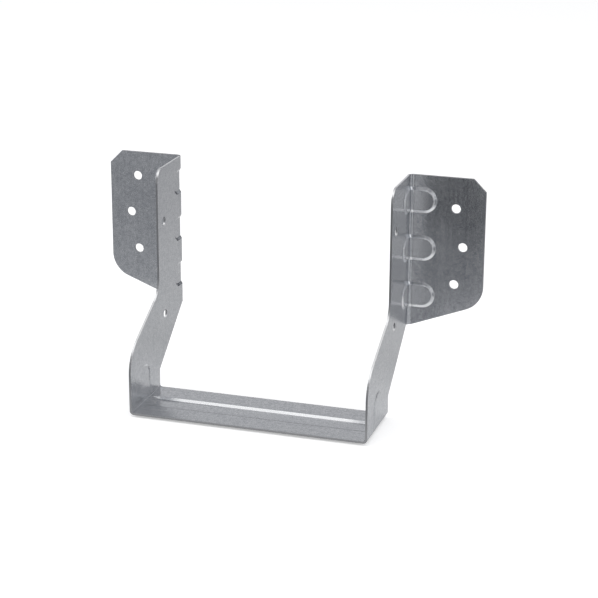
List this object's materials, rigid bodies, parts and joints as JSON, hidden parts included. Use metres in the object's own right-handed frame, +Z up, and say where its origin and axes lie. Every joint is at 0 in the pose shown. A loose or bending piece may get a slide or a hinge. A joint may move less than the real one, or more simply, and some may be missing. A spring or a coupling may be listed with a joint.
{
  "type": "beam hanger",
  "caption": "Face-fixed beam hanger folded from galvanised sheet: a beaded seat carried forward on cranked legs between outward flanges with pressed gussets and nail holes.",
  "frame": {"origin": "on the plane of the flange backs, midway between the legs, level with the underside of the seat", "axes": "+X across the beam's width, +Y back towards the supporting timber, +Z up along the legs"},
  "size_m": [0.232, 0.088, 0.1353],
  "materials": {
    "galvanised_sheet": "zinc coated, smooth satin sheen with faint rolling marks"
  },
  "bodies": {
    "root": {"beam_hanger": "galvanised_sheet"}
  },
  "joints": []
}
